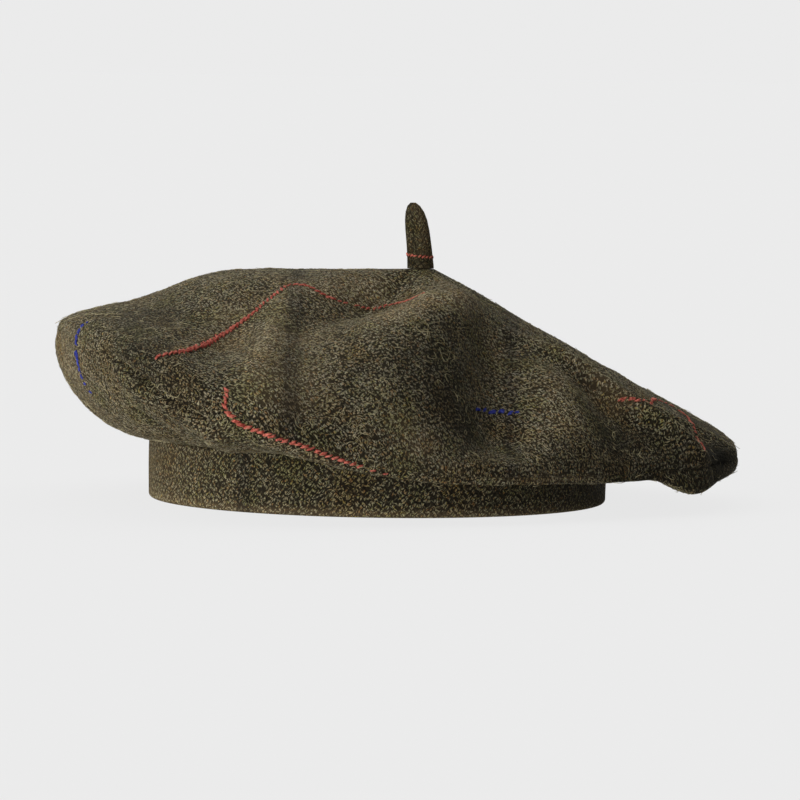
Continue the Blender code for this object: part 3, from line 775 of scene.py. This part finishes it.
def crown_line(path):
    """Points, normals and fullness along a line on the crown: a cubic through its path."""
    path = np.array(path, float)
    knots = np.arange(len(path))
    fine = np.linspace(0, len(path) - 1, 30 * len(path))
    slopes = np.gradient(path, axis=0)
    left = np.clip(fine.astype(int), 0, len(path) - 2)
    share = (fine - left)[:, None]
    curve = hermite(share, 1.0, path[left], path[left + 1], slopes[left], slopes[left + 1])
    points, normals = crown_points(curve[:, 0], curve[:, 1])
    return points, normals, curve[:, 2]


LOOKUP_POINTS = crown_surface(np.arange(LOOKUP_TURNS) * 360.0 / LOOKUP_TURNS, LOOKUP_PLACES)
LOOKUP_NORMALS = grid_normals(LOOKUP_POINTS)


def crown_points(turn, place):
    """Points and normals of the crown's outer face at single turns and places: the mean of the
    grid's four nearest, weighted by how near they are."""
    column = np.mod(turn, 360.0) / 360.0 * LOOKUP_TURNS
    row = np.interp(place, LOOKUP_PLACES, np.arange(len(LOOKUP_PLACES)))
    left = np.floor(column).astype(int)
    top = np.clip(np.floor(row).astype(int), 0, len(LOOKUP_PLACES) - 2)
    a, b = (column - left)[:, None], (row - top)[:, None]
    right, left = (left + 1) % LOOKUP_TURNS, left % LOOKUP_TURNS

    def read(grid):
        """The grid's values at the turns and places."""
        return ((grid[top, left] * (1 - a) + grid[top, right] * a) * (1 - b)
                + (grid[top + 1, left] * (1 - a) + grid[top + 1, right] * a) * b)

    normal = read(LOOKUP_NORMALS)
    return read(LOOKUP_POINTS), normal / np.linalg.norm(normal, axis=1, keepdims=True)


def joined(lines):
    """Several sets of stitches as one."""
    return tuple(np.concatenate([line[part] for line in lines]) for part in range(4))


def overcheck():
    """The red and blue windowpane lines on the crown, and the red ring round the stalk."""
    red_yarn = strand_of_wool("red worsted yarn", "#AC463A", "#F08B76")
    blue_yarn = strand_of_wool("blue worsted yarn", "#2B3384", "#5560D0")
    red = [stitched_line(*crown_line(path), seed=11 + at) for at, path in enumerate(RED_LINES)]
    piece(spindles("red_overcheck", *joined(red)), red_yarn, "crown_tweed")
    blue = [stitched_line(*crown_line(path), seed=41 + at, yarn=1.7 * MM, pitch=2.9 * MM,
                          slant=12.0, loose=2.0, cover=0.8)
            for at, path in enumerate(BLUE_LINES)]
    piece(spindles("blue_overcheck", *joined(blue)), blue_yarn, "crown_tweed")

    # The ring goes round at a fifth of the stalk's height, half a millimetre lower to the right.
    turn = np.radians(np.arange(0, 361, 4.0))
    ring = stalk_surface(turn, np.array([0.19]))[0]
    ring[:, 2] -= np.cos(turn) * 0.5 * MM
    normal = np.stack([np.cos(turn), np.sin(turn), 0 * turn], 1)
    stitches = stitched_line(ring, normal, 0.6 + 0 * turn, seed=71, yarn=1.3 * MM, pitch=1.7 * MM)
    piece(spindles("stalk_red_ring", *stitches), red_yarn, "stalk_tweed")


def fibres(name, count, lengths, thick, material, seed, curl=0.5, lift=0.25,
           cuts=(0.0, 0.5, 1.0), painted_light_weight=0.7, rim=0.0):
    """Loose wool on the crown: arcs that leave the cloth, bow to one side and lie back on it. They
    are spread by area, which the grid's cells give, with a density that follows the painted light
    and shade by the given weight. They keep off the stalk's foot, the hem, and a strip of places on
    both sides of the rim."""
    random = np.random.default_rng(seed)
    grid = LOOKUP_POINTS
    down = grid[1:] - grid[:-1]
    across = np.roll(grid, -1, axis=1) - grid
    area = np.linalg.norm(np.cross(down, across[:-1]), axis=2)
    places = LOOKUP_PLACES[:-1]
    rows = (places > 0.06) & (places < 1.85) & (np.abs(places - 1.0) >= rim)
    turns = np.arange(LOOKUP_TURNS) * 360.0 / LOOKUP_TURNS
    painted_light_density = np.clip(1 + painted_light_weight * painted_light_and_shade_map(turns, places), 0.1, 2.0)
    area = (area * painted_light_density * rows[:, None]).ravel()
    pick = random.choice(area.size, count, p=area / area.sum())
    row, column = np.divmod(pick, LOOKUP_TURNS)
    turn = (column + random.random(count)) * 360.0 / LOOKUP_TURNS
    step = LOOKUP_PLACES[1] - LOOKUP_PLACES[0]
    root, normal = crown_points(turn, LOOKUP_PLACES[row] + random.random(count) * step)
    toward = random.normal(size=(count, 3))
    toward -= normal * (toward * normal).sum(axis=1)[:, None]
    toward /= np.linalg.norm(toward, axis=1)[:, None]
    aside = np.cross(normal, toward)
    length = random.uniform(*lengths, count)[:, None] * MM
    bow = random.normal(0, curl, count)[:, None] * length * 0.5
    rise = random.uniform(0.3, 1.0, count)[:, None] * lift * length
    start = root - normal * 0.05 * MM
    middle = root + toward * length / 2 + aside * bow + normal * rise
    end = root + toward * length + normal * (rise * random.uniform(0.0, 1.2, count)[:, None])
    size = thick * MM * random.uniform(0.7, 1.2, count)
    piece(spindles(name, start, middle, end, size, sides=3, cuts=cuts), material, "crown_tweed")


def wool_on_the_crown():
    """Short pale flecks, fine fuzz and long curling hairs. Lengths and breadths are in mm."""
    pale = strand_of_wool("pale undyed kemp", "#8F8465", "#C9C0A2")
    bright = strand_of_wool("bleached kemp hair", "#A79A6E", "#E4D8AE")
    tan = strand_of_wool("tan lambswool fuzz", "#5E5238", "#8C8055")
    fibres("pale_flecks", 11000, (0.9, 2.2), 0.22, pale, 101, lift=0.06, curl=0.4)
    fibres("wool_fuzz", 9000, (0.8, 1.8), 0.10, tan, 202, lift=0.22)
    fibres("long_hairs", 2400, (1.6, 6.0), 0.23, bright, 303, lift=0.035, curl=0.8,
           cuts=(0.0, 0.12, 0.3, 0.5, 0.7, 0.88, 1.0), painted_light_weight=-0.25, rim=0.05)


# The photograph's camera: its distance, its angle above the floor, how far it is rolled, and where
# it aims, to the right of the band's middle and above the floor.
CAMERA_REACH, CAMERA_RISE, CAMERA_ROLL = 2.0, math.radians(4.0), math.radians(0.9)
AIM_RIGHT, AIM_HEIGHT = 8.94 * MM, 41.2 * MM
SENSOR_WIDTH, LENS, CLIP_END = 36.0, 216.5, 200.0
FLOOR_REACH = 60.0

# The soft lights: name, the way to it, strength and how many degrees wide it is.
SUNS = (
    ("left", (-0.70, -0.70, 0.00), 1.68, 60.0),
    ("high_left", (-0.70, 0.00, 0.70), 0.57, 50.0),
    ("behind", (0.00, 0.60, 0.80), 1.78, 90.0),
    ("low_left", (-0.60, -0.60, -0.50), 1.02, 90.0),
)


def stage():
    """A plain pale floor, soft light mostly from the left, and the photograph's camera."""
    scene = bpy.context.scene
    mesh = bpy.data.meshes.new("floor")
    turn = np.radians(np.arange(64) * 360.0 / 64)
    rim = np.stack([np.cos(turn), np.sin(turn), 0.0 * turn], 1) * FLOOR_REACH
    mesh.from_pydata(rim.tolist(), [], [list(range(len(turn)))])
    floor = bpy.data.objects.new("floor", mesh)
    scene.collection.objects.link(floor)

    # Matt studio paper: lit from within, so that it is as pale and even as a lit backdrop.
    paper = bpy.data.materials.new("matt studio paper")
    paper.use_nodes = True
    shader = paper.node_tree.nodes["Principled BSDF"]
    shader.inputs["Base Color"].default_value = (0.08, 0.08, 0.08, 1.0)
    shader.inputs["Roughness"].default_value = 1.0
    shader.inputs["Specular IOR Level"].default_value = 0.0
    shader.inputs["Emission Color"].default_value = (1.0, 1.0, 1.0, 1.0)
    shader.inputs["Emission Strength"].default_value = 0.78
    mesh.materials.append(paper)
    floor.visible_diffuse = False
    floor.visible_shadow = False

    world = bpy.data.worlds.new("studio")
    scene.world = world
    world.use_nodes = True
    world.node_tree.nodes["Background"].inputs["Color"].default_value = (0.83, 0.83, 0.83, 1.0)
    world.cycles_visibility.diffuse = False
    world.cycles_visibility.glossy = False

    for name, toward, strength, angle in SUNS:
        lamp = bpy.data.lights.new(name, "SUN")
        lamp.energy, lamp.angle = strength, math.radians(angle)
        item = bpy.data.objects.new(name, lamp)
        item.rotation_euler = Vector(toward).to_track_quat("Z", "Y").to_euler()
        scene.collection.objects.link(item)

    aim = Vector((BAND_MIDDLE[0] + AIM_RIGHT, BAND_MIDDLE[1], AIM_HEIGHT))
    ahead = Vector((0.0, math.cos(CAMERA_RISE), -math.sin(CAMERA_RISE)))
    level, upright = Vector((1.0, 0.0, 0.0)), Vector((0.0, -ahead.z, ahead.y))
    right = level * math.cos(CAMERA_ROLL) + upright * math.sin(CAMERA_ROLL)
    up = upright * math.cos(CAMERA_ROLL) - level * math.sin(CAMERA_ROLL)
    seen = bpy.data.cameras.new("camera")
    seen.sensor_width, seen.lens, seen.clip_end = SENSOR_WIDTH, LENS, CLIP_END
    camera = bpy.data.objects.new("camera", seen)
    scene.collection.objects.link(camera)
    turned = Matrix((right, up, -ahead)).transposed().to_4x4()
    camera.matrix_world = Matrix.Translation(aim - ahead * CAMERA_REACH) @ turned
    scene.camera = camera
    scene.view_settings.view_transform = "Standard"


sewn_cloth()
overcheck()
wool_on_the_crown()
stage()
